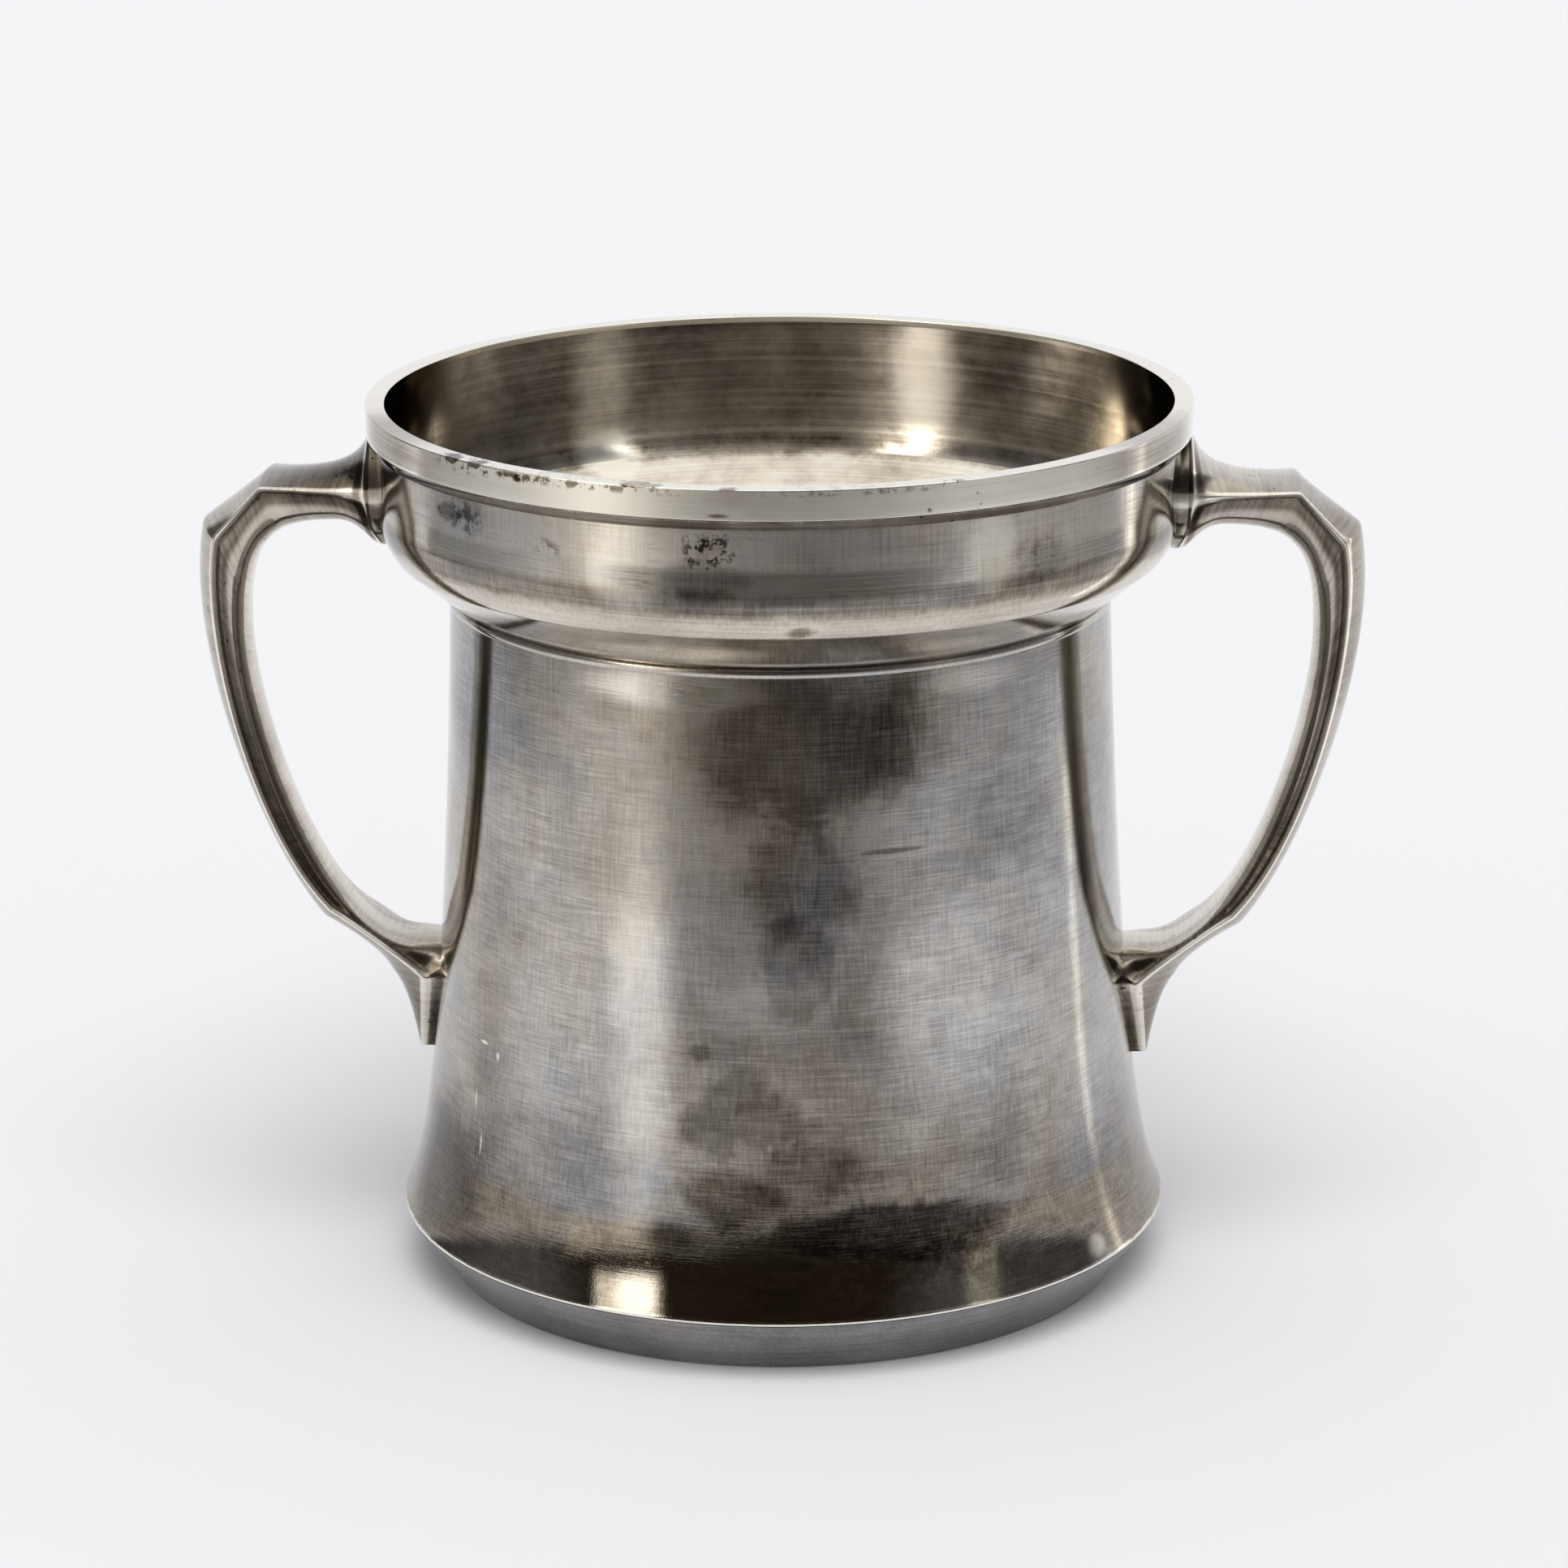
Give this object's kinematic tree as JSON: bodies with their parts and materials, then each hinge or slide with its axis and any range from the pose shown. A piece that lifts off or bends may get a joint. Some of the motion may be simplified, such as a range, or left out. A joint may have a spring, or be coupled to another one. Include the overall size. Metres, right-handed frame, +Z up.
{
  "type": "champagne cooler",
  "caption": "Round metal champagne and wine cooler, open at the top: a flared body under a wide turned collar and rim ring, a bevelled base, and a cast bow handle on each side.",
  "frame": {"origin": "centre of the flat foot, on the surface the cooler stands on", "axes": "+Z up along the vessel's axis; +X towards the right handle, seen from the front; +Y towards the back"},
  "size_m": [0.2844, 0.2, 0.2177],
  "materials": {
    "rim_silver": "polished silver plate, pale cream with fine scratches",
    "collar_silver": "polished silver plate, brushed by use, cloudy grey-brown tarnish",
    "wire_silver": "polished silver plate, blue-grey",
    "body_silver": "polished silver plate, fine crossed scratches like linen, cloudy tarnish",
    "base_silver": "darkened silver plate",
    "inside_silver": "dull silver plate, brushed, olive-brown tarnish",
    "cast_silver": "cast and filed silver plate, cream on the faces, black grime in the corners"
  },
  "bodies": {
    "root": {"rim_ring": "rim_silver", "collar": "collar_silver", "neck_wire": "wire_silver", "body": "body_silver", "base_ring": "base_silver", "bottom_plate": "inside_silver", "handle_right": "cast_silver", "handle_left": "cast_silver"}
  },
  "joints": []
}
